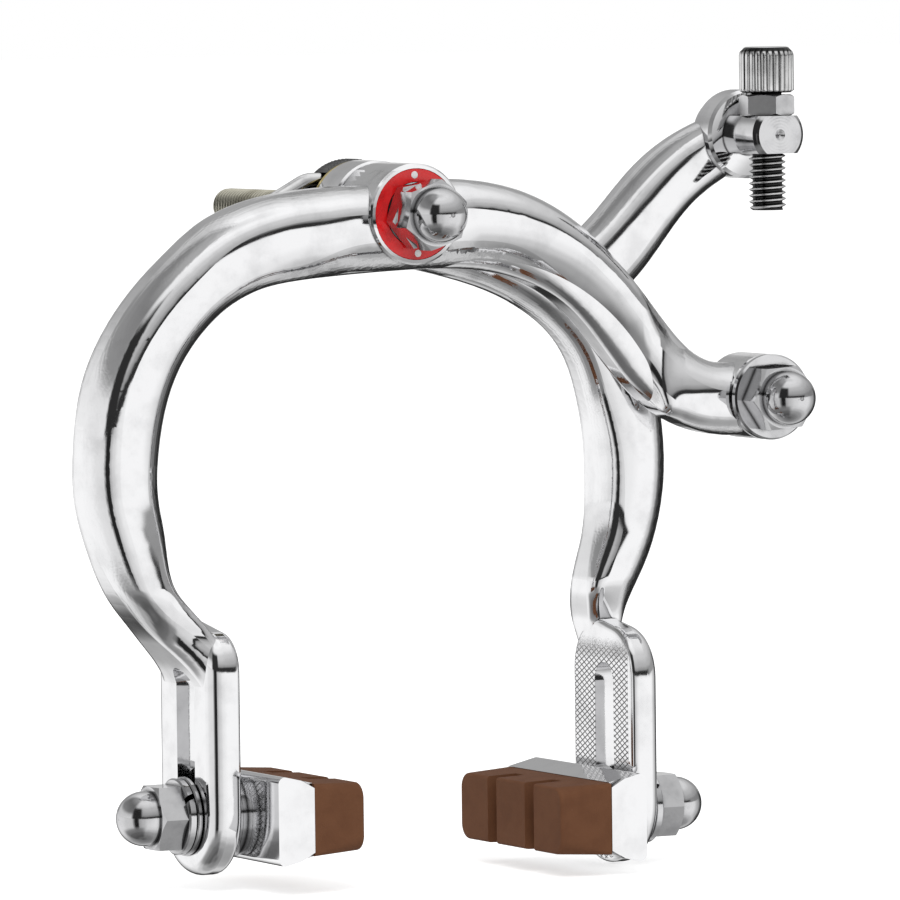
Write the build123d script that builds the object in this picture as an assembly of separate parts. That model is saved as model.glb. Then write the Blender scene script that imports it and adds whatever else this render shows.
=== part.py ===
import math
import os

from build123d import *

# Side-pull caliper brake, in millimetres.
# X is to the right as seen from the front, -Y is the front, +Z is up.
# The origin is on the pivot axis, at the rear face of the spring seat.

os.makedirs("parts", exist_ok=True)


def save(shape, node):
    export_step(shape, f"parts/{node}.step")


# Fits
faceGap = 0.03
boreGap = 0.05
pressGap = 0.02
edgeBreak = 0.3

# Standard M6 hardware
threadRadius = 3.0
boreRadius = threadRadius + boreGap
journalRadius = 3.2
journalBore = journalRadius + boreGap
throughAll = 120
nutFlats = 10.0
capHexHeight = 4.3
capNeckHeight = 1.0
capDomeRadius = 4.35
capBoreDepth = 5.6
capTipAngle = 59.0


def frontward(x, z, y):
    return Plane(origin=(x, y, z), x_dir=(1, 0, 0), z_dir=(0, -1, 0))


def outward(x, y, z, side):
    return Plane(origin=(x, y, z), x_dir=(0, 1, 0), z_dir=(side, 0, 0))


def turned(points):
    profile = Plane.XZ * make_face(Polyline(*points, close=True))
    return revolve(profile, axis=Axis.Z)


def ring(outerRadius, innerRadius, thickness, edge=edgeBreak):
    edge = min(edge, thickness * 0.3)
    return turned([
        (innerRadius, 0),
        (outerRadius - edge, 0),
        (outerRadius, edge),
        (outerRadius, thickness - edge),
        (outerRadius - edge, thickness),
        (innerRadius, thickness),
    ])


def shaft(radius, length, edge=edgeBreak):
    return turned([
        (0, 0),
        (radius - edge, 0),
        (radius, edge),
        (radius, length - edge),
        (radius - edge, length),
        (0, length),
    ])


def hexBar(flats, height, chamferBottom, chamferTop):
    inscribed = flats / 2
    corner = inscribed / math.cos(math.radians(30))
    rise = (corner - inscribed) * math.tan(math.radians(30))
    body = extrude(RegularPolygon(inscribed, 6, major_radius=False), height)
    cone = [(0, 0)]
    if chamferBottom:
        cone.append((inscribed, 0))
        cone.append((corner + 0.1, rise + 0.06))
    else:
        cone.append((corner + 0.1, 0))
    if chamferTop:
        cone.append((corner + 0.1, height - rise - 0.06))
        cone.append((inscribed, height))
    else:
        cone.append((corner + 0.1, height))
    cone.append((0, height))
    return body & turned(cone)


def capNut():
    hexagon = hexBar(nutFlats, capHexHeight, False, True)
    neckTop = capHexHeight + capNeckHeight
    dome = turned([(0, 0), (capDomeRadius, 0), (capDomeRadius, neckTop), (0, neckTop)])
    dome += Pos(0, 0, neckTop) * Sphere(capDomeRadius)
    dome &= Pos(0, 0, capDomeRadius * 2) * Box(20, 20, capDomeRadius * 4)
    bore = turned([
        (0, -1),
        (boreRadius, -1),
        (boreRadius, capBoreDepth),
        (0, capBoreDepth + boreRadius / math.tan(math.radians(capTipAngle))),
    ])
    return hexagon + dome - bore


# Pivot stack, as distances forward from the mounting face
seatThickness = 4.4
brassThickness = 0.77
rearBossThickness = 7.2
armWasherThickness = 0.54
frontBossDepth = 11.87
trimThickness = 0.8
rimHeight = 0.83
frontWasherThickness = 1.0
adjustingNutHeight = 3.0

brassY = seatThickness
rearBossY = brassY + brassThickness + faceGap
armWasherY = rearBossY + rearBossThickness + faceGap
frontBossY = armWasherY + armWasherThickness + faceGap
recessY = frontBossY + frontBossDepth
frontWasherY = recessY + faceGap
adjustingNutY = frontWasherY + frontWasherThickness
pivotCapY = adjustingNutY + adjustingNutHeight

seatRadius = 8.45
brassRadius = 8.3
rearBossRadius = 8.4
armWasherRadius = 7.6
frontBossRadius = 8.15
trimOuterRadius = 7.35
trimInnerRadius = 5.2
frontWasherRadius = 5.1
studLength = 43.3
pivotThreadInCap = 4.9

studEndBreak = 0.5
journalLength = adjustingNutY - faceGap
boltTip = pivotCapY + pivotThreadInCap
pivotBolt = turned([
    (0, -studLength),
    (threadRadius - studEndBreak, -studLength),
    (threadRadius, -studLength + studEndBreak),
    (threadRadius, 0),
    (journalRadius, 0),
    (journalRadius, journalLength),
    (threadRadius, journalLength),
    (threadRadius, boltTip - studEndBreak),
    (threadRadius - studEndBreak, boltTip),
    (0, boltTip),
])
save(frontward(0, 0, 0) * pivotBolt, "pivot_bolt")

# Return spring, in the slot of its seat and under a peg of each arm
wireRadius = 1.3
wireY = 2.2
wireSeatZ = 5.1
slotGap = 0.03
slotHalf = wireRadius + slotGap
legStartX = 15.7
legStartZ = 1.0
pegX = 32.5
pegZ = -10.3
pegRadius = 1.6
pegGap = 0.03
legRun = 25.0

pegReach = math.hypot(pegX - legStartX, pegZ - legStartZ)
pegAngle = math.atan2(pegZ - legStartZ, pegX - legStartX)
legAngle = pegAngle - math.asin((pegRadius + wireRadius + pegGap) / pegReach)
legEndX = legStartX + legRun * math.cos(legAngle)
legEndZ = legStartZ + legRun * math.sin(legAngle)
shoulderX = 8.0
shoulderZ = wireSeatZ

wirePath = FilletPolyline(
    (-legEndX, -wireY, legEndZ),
    (-legStartX, -wireY, legStartZ),
    (-shoulderX, -wireY, shoulderZ),
    (shoulderX, -wireY, shoulderZ),
    (legStartX, -wireY, legStartZ),
    (legEndX, -wireY, legEndZ),
    radius=4.0,
)
wireSection = Plane(origin=wirePath @ 0, z_dir=wirePath % 0) * Circle(wireRadius)
returnSpring = sweep(wireSection, path=wirePath)
save(returnSpring, "return_spring")

springSeat = ring(seatRadius, journalRadius + pressGap, seatThickness)
slotFloor = wireY - wireRadius - slotGap
slotDepth = seatThickness - slotFloor
springSeat -= Pos(0, wireSeatZ, slotFloor + slotDepth / 2) * Box(4 * seatRadius, 2 * slotHalf, slotDepth)
save(frontward(0, 0, 0) * springSeat, "spring_seat")

save(frontward(0, 0, -brassY) * ring(brassRadius, journalBore, brassThickness, 0.1), "rear_brass_washer")
save(frontward(0, 0, -armWasherY) * ring(armWasherRadius, journalBore, armWasherThickness, 0.1), "arm_washer")
save(frontward(0, 0, -frontWasherY) * ring(frontWasherRadius, journalBore, frontWasherThickness, 0.15), "front_washer")

adjustingTurn = 10.0
pivotCapTurn = 20.0
boreCutter = Cylinder(boreRadius, throughAll)
adjustingNut = Rot(0, 0, adjustingTurn) * hexBar(nutFlats, adjustingNutHeight, True, True) - boreCutter
save(frontward(0, 0, -adjustingNutY) * adjustingNut, "adjusting_nut")
save(frontward(0, 0, -pivotCapY) * Rot(0, 0, pivotCapTurn) * capNut(), "pivot_cap_nut")

# Pad plates at the lower ends of the arms
plateInnerX = 35.05
plateThickness = 5.3
plateFrontY = -31.8
plateRearY = -11.0
plateOuterEdge = 2.6
plateInnerEdge = 1.2
shoulderRearRise = 8.4
shoulderFrontRise = 4.9
shoulderRadius = {-1: 6.3, 1: 8.4}
slotWidth = 6.4
padY = -22.0
padZ = {-1: -94.6, 1: -97.4}
slotTopZ = {-1: -71.0, 1: -73.7}
slotBottomDrop = 4.0
plateBottomZ = {-1: -104.2, 1: -106.4}
plateOuterX = plateInnerX + plateThickness
plateX = plateInnerX + plateThickness / 2


def section(width, depth, corners):
    # corners: outer front, outer rear, inner rear, inner front; local +x is the inner side, +y the rear
    halfWidth = width / 2
    halfDepth = depth / 2
    spots = [(-halfWidth, -halfDepth), (-halfWidth, halfDepth), (halfWidth, halfDepth), (halfWidth, -halfDepth)]
    inward = [(1, 1), (1, -1), (-1, -1), (-1, 1)]
    starts = []
    middles = []
    ends = []
    for place, (spot, turn, radius) in enumerate(zip(spots, inward, corners)):
        upright = (spot[0], spot[1] + turn[1] * radius)
        level = (spot[0] + turn[0] * radius, spot[1])
        slack = radius * (1 - math.sqrt(0.5))
        middles.append((spot[0] + turn[0] * slack, spot[1] + turn[1] * slack))
        if place % 2 == 0:
            starts.append(level)
            ends.append(upright)
        else:
            starts.append(upright)
            ends.append(level)
    edges = []
    for place in range(4):
        edges.append(ThreePointArc(starts[place], middles[place], ends[place]))
        edges.append(Line(ends[place], starts[(place + 1) % 4]))
    return make_face(edges)


def limb(stations, firstHeading, lastHeading):
    # each station: x, y, z, width in the XZ plane, depth along Y, four corner radii
    faces = []
    last = len(stations) - 1
    for place, (x, y, z, width, depth, corners) in enumerate(stations):
        before = stations[max(place - 1, 0)]
        after = stations[min(place + 1, last)]
        heading = (after[0] - before[0], after[2] - before[2])
        if place == 0 and firstHeading:
            heading = firstHeading
        if place == last and lastHeading:
            heading = lastHeading
        size = math.hypot(*heading)
        along = (heading[0] / size, 0, heading[1] / size)
        across = (along[2], 0, -along[0])
        faces.append(Plane(origin=(x, y, z), x_dir=across, z_dir=along) * section(width, depth, corners))
    return loft(faces)


def padPlate(side):
    # an outline in Y and Z, swept through the thickness, with a shoulder that slopes down to the front
    slotTop = slotTopZ[side]
    radius = (plateRearY - plateFrontY) / 2
    middleY = (plateRearY + plateFrontY) / 2
    archZ = plateBottomZ[side] + radius
    shoulder = FilletPolyline(
        (plateRearY, archZ),
        (plateRearY, slotTop + shoulderRearRise),
        (plateFrontY, slotTop + shoulderFrontRise),
        (plateFrontY, archZ),
        radius=shoulderRadius[side],
    )
    arch = ThreePointArc((plateFrontY, archZ), (middleY, plateBottomZ[side]), (plateRearY, archZ))
    outline = make_face([shoulder, arch])
    sideways = Plane(origin=(side * plateInnerX, 0, 0), x_dir=(0, 1, 0), z_dir=(1, 0, 0))
    slab = extrude(sideways * outline, side * plateThickness)
    faces = slab.faces().filter_by(Axis.X).sort_by(Axis.X)
    outerFace = faces[-1] if side > 0 else faces[0]
    slab = fillet(outerFace.edges(), plateOuterEdge)
    faces = slab.faces().filter_by(Axis.X).sort_by(Axis.X)
    innerFace = faces[0] if side > 0 else faces[-1]
    return fillet(innerFace.edges(), plateInnerEdge)


def plateSlot(side):
    low = padZ[side] - slotBottomDrop
    high = slotTopZ[side]
    cutter = SlotOverall(high - low, slotWidth)
    plane = Plane(origin=(side * plateX, padY, (low + high) / 2), x_dir=(0, 0, 1), z_dir=(1, 0, 0))
    return extrude(plane * cutter, plateThickness * 3, both=True)


# Front arm: left pad leg, boss and right anchor lever in one bar
roundBar = (4.6, 4.2, 3.4, 2.6)
bossBar = (4.6, 4.2, 4.2, 4.6)
neckBar = (3.4, 3.4, 2.6, 2.4)
endBar = (1.9, 1.9, 1.9, 1.9)
fanEnd = (2.2, 2.2, 1.4, 1.4)
fanBar = (3.8, 3.4, 1.7, 1.7)
anchorX = 64.7
anchorZ = -31.4
anchorBossRadius = 7.0
anchorFaceY = -24.8
anchorBackY = -15.0
leverEndInset = 1.5

frontStations = [
    (-plateX, -21.4, -79.0, 4.2, 18.4, fanEnd),
    (-37.8, -21.4, -74.2, 4.6, 18.8, fanEnd),
    (-39.2, -21.2, -69.8, 5.9, 18.2, fanBar),
    (-41.8, -20.6, -66.0, 6.7, 15.8, fanBar),
    (-44.5, -20.0, -62.5, 7.5, 12.8, neckBar),
    (-46.9, -19.7, -59.0, 8.4, 11.8, neckBar),
    (-49.4, -19.5, -51.4, 11.0, 11.5, roundBar),
    (-50.9, -19.3, -44.5, 11.8, 11.5, roundBar),
    (-50.9, -19.3, -36.2, 12.1, 11.5, roundBar),
    (-49.0, -19.3, -26.4, 12.4, 11.5, roundBar),
    (-45.4, -19.3, -19.2, 12.0, 11.5, roundBar),
    (-41.2, -19.3, -14.0, 11.8, 11.5, roundBar),
    (-36.3, -19.3, -9.6, 12.0, 11.5, roundBar),
    (-31.3, -19.3, -6.3, 13.0, 11.5, roundBar),
    (-26.0, -19.3, -4.3, 13.6, 11.5, roundBar),
    (-20.0, -19.3, -3.2, 14.0, 11.5, roundBar),
    (-12.0, -19.3, -2.6, 14.2, 11.5, bossBar),
    (0.0, -19.3, -2.0, 14.2, 11.5, bossBar),
    (10.0, -19.4, -1.9, 14.4, 11.2, bossBar),
    (20.0, -19.6, -3.6, 13.8, 10.7, bossBar),
    (anchorX - 34.4, -19.9, anchorZ + 22.5, 12.3, 10.0, roundBar),
    (anchorX - 25.9, -20.0, anchorZ + 14.1, 11.8, 9.6, roundBar),
    (anchorX - 18.7, -20.1, anchorZ + 5.6, 11.8, 9.4, roundBar),
    (anchorX - 10.2, -20.0, anchorZ + 0.4, 11.7, 9.4, roundBar),
    (anchorX - leverEndInset, -19.9, anchorZ, 11.7, 9.4, roundBar),
]
frontArm = limb(frontStations, (0, 1), (1, 0))
frontArm += padPlate(-1)
frontBossTall = frontBossDepth + rimHeight
frontArm += frontward(0, 0, -frontBossY) * ring(frontBossRadius, journalBore, frontBossTall)
anchorBossTall = anchorBackY - anchorFaceY
frontArm += frontward(anchorX, anchorZ, anchorBackY) * shaft(anchorBossRadius, anchorBossTall, 0.4)
pegTipY = -(wireY - wireRadius)
frontPegRoot = 14.5
rearPegRoot = 8.5
frontArm += frontward(-pegX, pegZ, pegTipY) * shaft(pegRadius, frontPegRoot - pegTipY)
frontArm -= plateSlot(-1)
frontArm -= frontward(0, 0, 0) * Cylinder(journalBore, throughAll)
frontArm -= frontward(anchorX, anchorZ, 0) * Cylinder(boreRadius, throughAll)
recessCutter = Cylinder(trimOuterRadius, rimHeight * 4, align=(Align.CENTER, Align.CENTER, Align.MIN))
frontArm -= frontward(0, 0, -recessY) * recessCutter
save(frontArm, "front_arm")

trimRing = ring(trimOuterRadius - pressGap, trimInnerRadius, trimThickness, 0.1)
save(frontward(0, 0, -recessY) * trimRing, "trim_ring")

# Rear arm: right pad leg and upper lever with the eye for the cable stop
eyeX = 66.2
eyeZ = 11.4
eyeRadius = 7.3
eyeBackY = -8.2
eyeBackEdge = 3.0
clipThickness = 1.0
clipRadius = 5.0
clipSeatGap = 0.4
clipSeatReach = 10
eyeFaceY = -16.2
stopShankRadius = 3.5
rearBar = (3.2, 3.0, 3.0, 2.8)
leverBar = (3.2, 2.6, 2.6, 3.0)
legBar = (4.2, 3.6, 3.4, 3.4)

legStations = [
    (0.0, -8.8, -1.6, 12.4, 6.8, rearBar),
    (6.0, -8.8, -3.4, 11.0, 6.8, rearBar),
    (12.8, -8.8, -5.4, 10.2, 6.8, rearBar),
    (22.5, -8.85, -8.4, 10.0, 6.9, rearBar),
    (29.0, -8.95, -11.2, 10.4, 7.1, rearBar),
    (35.8, -9.1, -15.4, 11.4, 7.4, rearBar),
    (41.4, -9.4, -22.0, 12.4, 7.8, rearBar),
    (44.2, -10.2, -30.4, 13.0, 8.2, rearBar),
    (44.6, -12.0, -38.0, 13.0, 9.6, legBar),
    (43.6, -13.6, -47.7, 11.9, 10.4, legBar),
    (41.6, -14.3, -55.5, 10.6, 10.0, legBar),
    (38.9, -14.6, -62.0, 8.6, 9.6, neckBar),
    (plateX, -14.9, -68.0, 5.8, 9.0, endBar),
    (plateX, -15.6, -74.0, 4.6, 8.6, endBar),
]
leverStations = [
    (33.0, -9.0, -16.0, 9.0, 7.0, leverBar),
    (39.5, -9.1, -11.0, 12.2, 7.3, leverBar),
    (46.2, -9.3, -5.1, 11.9, 7.4, leverBar),
    (52.4, -9.7, 2.0, 11.2, 7.4, leverBar),
    (58.5, -10.6, 7.0, 10.6, 7.2, leverBar),
    (eyeX - leverEndInset, -11.8, eyeZ - 0.8, 9.4, 6.6, leverBar),
]
rearArm = limb(legStations, (1, -0.1), (0, -1))
rearArm += padPlate(1)
rearArm += limb(leverStations, None, None)
rearArm += frontward(0, 0, -rearBossY) * ring(rearBossRadius, journalBore, rearBossThickness)
eye = turned([
    (0, 0),
    (eyeRadius - eyeBackEdge, 0),
    (eyeRadius - 0.3 * eyeBackEdge, 0.3 * eyeBackEdge),
    (eyeRadius, eyeBackEdge),
    (eyeRadius, eyeBackY - eyeFaceY - 0.5),
    (eyeRadius - 0.5, eyeBackY - eyeFaceY),
    (0, eyeBackY - eyeFaceY),
])
rearArm += frontward(eyeX, eyeZ, eyeBackY) * eye
rearArm += frontward(pegX, pegZ, pegTipY) * shaft(pegRadius, rearPegRoot - pegTipY)
rearArm -= plateSlot(1)
rearArm -= frontward(0, 0, 0) * Cylinder(journalBore, throughAll)
rearArm -= frontward(eyeX, eyeZ, 0) * Cylinder(stopShankRadius + boreGap, throughAll)
clipSeat = Cylinder(clipRadius + clipSeatGap, clipSeatReach, align=(Align.CENTER, Align.CENTER, Align.MAX))
rearArm -= frontward(eyeX, eyeZ, eyeBackY) * clipSeat
save(rearArm, "rear_arm")

# Cable stop and barrel adjuster
stopRadius = 4.75
stopHeight = 6.15
stopY = eyeFaceY - faceGap
stopLength = 10.7
stopEdge = 0.8
clipY = eyeBackY + faceGap + clipThickness
shankEndY = clipY + 0.5
adjusterY = -22.5
centreMarkRadius = 0.9

stopBody = turned([
    (0, 0),
    (stopRadius, 0),
    (stopRadius, stopLength - stopEdge),
    (stopRadius - stopEdge, stopLength),
    (centreMarkRadius, stopLength),
    (0, stopLength - 0.6),
])
stopBody &= Pos(0, 0, stopLength / 2) * Box(4 * stopRadius, stopHeight, stopLength)
cableStop = frontward(eyeX, eyeZ, stopY) * stopBody
cableStop += frontward(eyeX, eyeZ, shankEndY) * shaft(stopShankRadius, shankEndY - stopY + 0.5)
barrelBore = Pos(eyeX, adjusterY, eyeZ) * Cylinder(boreRadius, 30)
cableStop -= barrelBore
save(cableStop, "cable_stop")
save(frontward(eyeX, eyeZ, clipY) * ring(clipRadius, stopShankRadius + pressGap, clipThickness, 0.2), "stop_clip")

barrelBottomZ = -0.95
headBottomZ = 18.25
headTopZ = 25.75
headRadius = 4.5
socketRadius = 2.6
socketDepth = 7.5
cableHoleRadius = 1.0
lockNutFlats = 8.0
lockNutHeight = 3.4
lockNutTurn = 20.0
fluteCount = 30
fluteRadius = 0.3
headCrown = 1.3

barrelHeadHigh = headTopZ - headBottomZ
barrel = turned([
    (cableHoleRadius, barrelBottomZ),
    (threadRadius - 0.5, barrelBottomZ),
    (threadRadius, barrelBottomZ + 0.5),
    (threadRadius, headBottomZ),
    (headRadius - 0.4, headBottomZ),
    (headRadius, headBottomZ + 0.4),
    (headRadius, headTopZ - headCrown),
    (headRadius - 0.35, headTopZ - 0.55),
    (headRadius - 1.1, headTopZ),
    (socketRadius + 0.2, headTopZ),
    (socketRadius, headTopZ - 0.2),
    (socketRadius, headTopZ - socketDepth),
    (cableHoleRadius, headTopZ - socketDepth - 0.6),
])
flute = Pos(headRadius + 0.08, 0, (headBottomZ + headTopZ) / 2) * Cylinder(fluteRadius, barrelHeadHigh)
barrel -= PolarLocations(0, fluteCount) * flute
save(Pos(eyeX, adjusterY, 0) * barrel, "adjuster_barrel")

lockNut = Rot(0, 0, lockNutTurn) * hexBar(lockNutFlats, lockNutHeight, True, True) - boreCutter
lockNutZ = eyeZ + stopHeight / 2 + faceGap
save(Pos(eyeX, adjusterY, lockNutZ) * lockNut, "adjuster_lock_nut")

# Cable anchor
anchorWasherThickness = 1.5
anchorWasherY = anchorFaceY - faceGap
anchorNutY = anchorWasherY - anchorWasherThickness
anchorHeadRadius = 4.6
anchorHeadThickness = 1.8
anchorHeadY = anchorBackY + faceGap + anchorHeadThickness
cableRadius = 0.8
cableHoleY = anchorWasherY
anchorNutTurn = 4.0

anchorTipY = anchorNutY - pivotThreadInCap
anchorBolt = frontward(anchorX, anchorZ, anchorHeadY) * shaft(threadRadius, anchorHeadY - anchorTipY, 0.5)
anchorBolt += frontward(anchorX, anchorZ, anchorHeadY) * shaft(anchorHeadRadius, anchorHeadThickness)
anchorBolt -= Pos(anchorX, cableHoleY - cableRadius, anchorZ) * Cylinder(cableRadius + 0.1, 40)
save(anchorBolt, "anchor_bolt")

anchorWasher = frontward(anchorX, anchorZ, anchorWasherY) * ring(anchorBossRadius, boreRadius, anchorWasherThickness)
anchorWasher -= Pos(anchorX, anchorWasherY, anchorZ) * Cylinder(cableRadius, 40)
save(anchorWasher, "anchor_washer")
anchorCap = Rot(0, 0, anchorNutTurn) * capNut()
save(frontward(anchorX, anchorZ, anchorNutY) * anchorCap, "anchor_cap_nut")

# Brake pads: every piece is modelled for the left side at stud height 0
dishedOuterRadius = 7.0
dishedThickness = 1.25
dishedInnerThickness = 0.55
domedThickness = 0.8
domedInnerThickness = 1.5
washerBore = 3.25
flatWasherRadius = 6.25
flatWasherThickness = 0.9
splitWasherRadius = 6.1
splitWasherInner = 3.5
splitWasherThickness = 1.4
splitGap = 0.9
splitSlant = 20.0
splitAt = 215.0
studInHolder = 1.6

dishedX = plateInnerX - faceGap
coneGap = 0.05
domedX = dishedX - dishedInnerThickness - coneGap - domedInnerThickness
holderX = domedX
flatX = plateOuterX + faceGap
splitX = flatX + flatWasherThickness
padCapX = splitX + splitWasherThickness

holderSheet = 1.0
holderHigh = 14.7
holderMouthHigh = 11.7
holderMouthX = 26.6
padFrontY = -40.0
padRearY = -4.3
tabMouthHigh = 9.7
foldRadius = 1.1
rubberNeckGap = 0.02
rubberHigh = 11.5
rubberFaceHigh = 10.8
rubberFaceX = 17.6
blockLength = 9.8
grooveWidth = 3.1
grooveDepth = 5.2
rubberCorner = 2.6
rubberBaseCorner = 0.4
rubberFaceShorter = 0.5
rubberFaceEdge = 0.5


def troughProfile(backX, mouthX, backHigh, mouthHigh):
    return [(-backX, backHigh / 2), (-mouthX, mouthHigh / 2), (-mouthX, -mouthHigh / 2), (-backX, -backHigh / 2)]


def along(points, startY, endY):
    # extrudes an outline in X and Z from startY forward to endY
    face = make_face(Polyline(*points, close=True))
    plane = Plane(origin=(0, startY, 0), x_dir=(1, 0, 0), z_dir=(0, -1, 0))
    return extrude(plane * face, startY - endY)


wallSlope = (holderHigh - holderMouthHigh) / 2 / (holderX - holderMouthX)
holderOuter = along(troughProfile(holderX, holderMouthX, holderHigh, holderMouthHigh), padRearY, padFrontY)
backEdges = holderOuter.edges().filter_by(Axis.Y).group_by(Axis.X)[0]
holderOuter = fillet(backEdges, foldRadius)
cavityBackX = holderX - holderSheet
cavityBackHigh = holderHigh - 2 * (holderSheet + wallSlope * holderSheet)
cavityMouthX = holderMouthX - 1
cavityMouthHigh = holderMouthHigh - 2 * (holderSheet + wallSlope * 1)
cavityProfile = troughProfile(cavityBackX, cavityMouthX, cavityBackHigh, cavityMouthHigh)
cavityFrontY = padFrontY + holderSheet
holder = holderOuter - along(cavityProfile, padRearY + 1, cavityFrontY)
for up in (-1, 1):
    tabWedge = [
        (-holderX + 1.2, up * holderHigh / 2 + up * 0.6),
        (-holderMouthX + 1, up * (tabMouthHigh / 2 - 0.3)),
        (-holderMouthX + 1, up * holderHigh),
    ]
    holder -= along(tabWedge, cavityFrontY, padFrontY - 1)
holder -= Pos(-holderX, padY, 0) * Rot(0, 90, 0) * Cylinder(threadRadius + pressGap, 8)

rubberBackX = cavityBackX - rubberNeckGap
neckBackHigh = cavityBackHigh - 4 * rubberNeckGap
neckMouthHigh = neckBackHigh - 2 * wallSlope * (rubberBackX - holderMouthX)
rubber = along(troughProfile(rubberBackX, holderMouthX, neckBackHigh, neckMouthHigh), padRearY, cavityFrontY + 0.05)
rubberLength = 3 * blockLength + 2 * grooveWidth
rubberMiddleY = padRearY - rubberLength / 2
towardRim = Plane(origin=(-holderMouthX + rubberNeckGap, rubberMiddleY, 0), x_dir=(0, 1, 0), z_dir=(1, 0, 0))
headHigh = holderMouthX - rubberNeckGap - rubberFaceX
headBase = RectangleRounded(rubberLength, rubberHigh, rubberBaseCorner)
headFace = Pos(0, 0, headHigh) * RectangleRounded(rubberLength - rubberFaceShorter, rubberFaceHigh, rubberCorner)
rubberHead = towardRim * loft([headBase.face(), headFace.face()])
rubberHead = fillet(rubberHead.faces().sort_by(Axis.X)[-1].edges(), rubberFaceEdge)
rubberJoin = along(troughProfile(holderMouthX, holderMouthX - 0.1, neckMouthHigh, neckMouthHigh), padRearY, cavityFrontY + 0.05)
for count in (1, 2):
    grooveY = padRearY - count * blockLength - (count - 0.5) * grooveWidth
    grooveX = -rubberFaceX - grooveDepth / 2 + 0.5
    rubberHead -= Pos(grooveX, grooveY, 0) * Box(grooveDepth + 1, grooveWidth, rubberHigh * 2)
studEndX = holderX - studInHolder
studRelief = Pos(-studEndX - 1, padY, 0) * Rot(0, 90, 0) * Cylinder(threadRadius + pressGap + 0.6, 4)
rubber = rubber + rubberJoin + rubberHead - studRelief

padStud = outward(-studEndX, padY, 0, -1) * shaft(threadRadius, padCapX + pivotThreadInCap - studEndX, 0.4)
rivetHead = outward(-studEndX, padY, 0, -1) * shaft(threadRadius + 0.5, studInHolder - holderSheet, 0.1)
padStud += rivetHead

dished = turned([
    (washerBore, 0),
    (dishedOuterRadius, 0),
    (dishedOuterRadius, dishedThickness),
    (washerBore, dishedInnerThickness),
])
domed = turned([
    (boreRadius, 0),
    (dishedOuterRadius, 0),
    (dishedOuterRadius, domedThickness),
    (boreRadius, domedInnerThickness),
])
splitWasher = ring(splitWasherRadius, splitWasherInner, splitWasherThickness, 0.25)
splitCutter = Rot(0, 0, splitAt) * Pos(splitWasherRadius, 0, splitWasherThickness / 2)
splitCutter = splitCutter * Rot(splitSlant, 0, 0) * Box(2 * splitWasherRadius, splitGap, 6)
splitWasher -= splitCutter

leftPad = {
    "pad_holder": holder,
    "pad_rubber": rubber,
    "pad_stud": padStud,
    "dished_washer": outward(-dishedX, padY, 0, 1) * dished,
    "domed_washer": outward(-domedX, padY, 0, -1) * domed,
    "flat_washer": outward(-flatX, padY, 0, -1) * ring(flatWasherRadius, washerBore, flatWasherThickness, 0.2),
    "spring_washer": outward(-splitX, padY, 0, -1) * splitWasher,
    "pad_cap_nut": outward(-padCapX, padY, 0, -1) * capNut(),
}
for node, shape in leftPad.items():
    save(Pos(0, 0, padZ[-1]) * shape, "left_" + node)
    save(Pos(0, 0, padZ[1]) * mirror(shape, about=Plane.YZ), "right_" + node)
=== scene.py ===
import math

import bpy
from mathutils import Matrix, Vector


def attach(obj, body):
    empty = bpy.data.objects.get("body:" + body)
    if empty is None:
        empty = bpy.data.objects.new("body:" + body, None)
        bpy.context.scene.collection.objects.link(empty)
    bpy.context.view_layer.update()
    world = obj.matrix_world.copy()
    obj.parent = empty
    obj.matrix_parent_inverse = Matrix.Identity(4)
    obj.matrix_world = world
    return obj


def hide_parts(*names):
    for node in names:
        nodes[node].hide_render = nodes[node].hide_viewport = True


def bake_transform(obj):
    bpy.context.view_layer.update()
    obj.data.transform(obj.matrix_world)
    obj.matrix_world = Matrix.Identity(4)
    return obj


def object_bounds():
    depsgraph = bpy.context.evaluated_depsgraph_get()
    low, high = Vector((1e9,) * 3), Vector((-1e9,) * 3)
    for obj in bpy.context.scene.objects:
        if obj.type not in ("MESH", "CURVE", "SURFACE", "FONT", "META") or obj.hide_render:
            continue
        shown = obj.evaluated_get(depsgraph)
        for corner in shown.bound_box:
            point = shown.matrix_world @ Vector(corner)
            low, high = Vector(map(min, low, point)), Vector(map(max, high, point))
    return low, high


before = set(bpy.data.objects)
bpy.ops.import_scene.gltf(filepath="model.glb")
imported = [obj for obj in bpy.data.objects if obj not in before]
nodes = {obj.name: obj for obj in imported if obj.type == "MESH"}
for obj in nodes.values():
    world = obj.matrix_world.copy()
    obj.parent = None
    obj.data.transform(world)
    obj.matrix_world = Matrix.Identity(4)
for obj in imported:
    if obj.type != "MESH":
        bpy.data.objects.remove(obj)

mm = 0.001
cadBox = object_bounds()
print("frame loaded,", len(nodes), "solids")


# Camera: where the photograph was taken from
camera = {
    "azimuth": -27.3,
    "elevation": 3.184,
    "roll": 0.7,
    "distance": 1.4,
    "target": (0.01104, -0.015, -0.03862),
    "lens": 346.26,
    "sensor": 36.0,
}


def placeCamera(c):
    turn = math.radians(c["azimuth"])
    lift = math.radians(c["elevation"])
    lean = math.radians(c["roll"])
    back = Vector((math.sin(turn) * math.cos(lift), -math.cos(turn) * math.cos(lift), math.sin(lift)))
    right = Vector((math.cos(turn), math.sin(turn), 0))
    up = back.cross(right)
    leanRight = math.cos(lean) * right - math.sin(lean) * up
    leanUp = math.sin(lean) * right + math.cos(lean) * up
    data = bpy.data.cameras.new("photoCamera")
    data.lens = c["lens"]
    data.sensor_width = c["sensor"]
    data.clip_start = 0.05
    data.clip_end = 60
    made = bpy.data.objects.new("photoCamera", data)
    bpy.context.scene.collection.objects.link(made)
    made.matrix_world = Matrix((leanRight, leanUp, back)).transposed().to_4x4()
    made.location = Vector(c["target"]) + back * c["distance"]
    bpy.context.scene.camera = made


placeCamera(camera)


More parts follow.
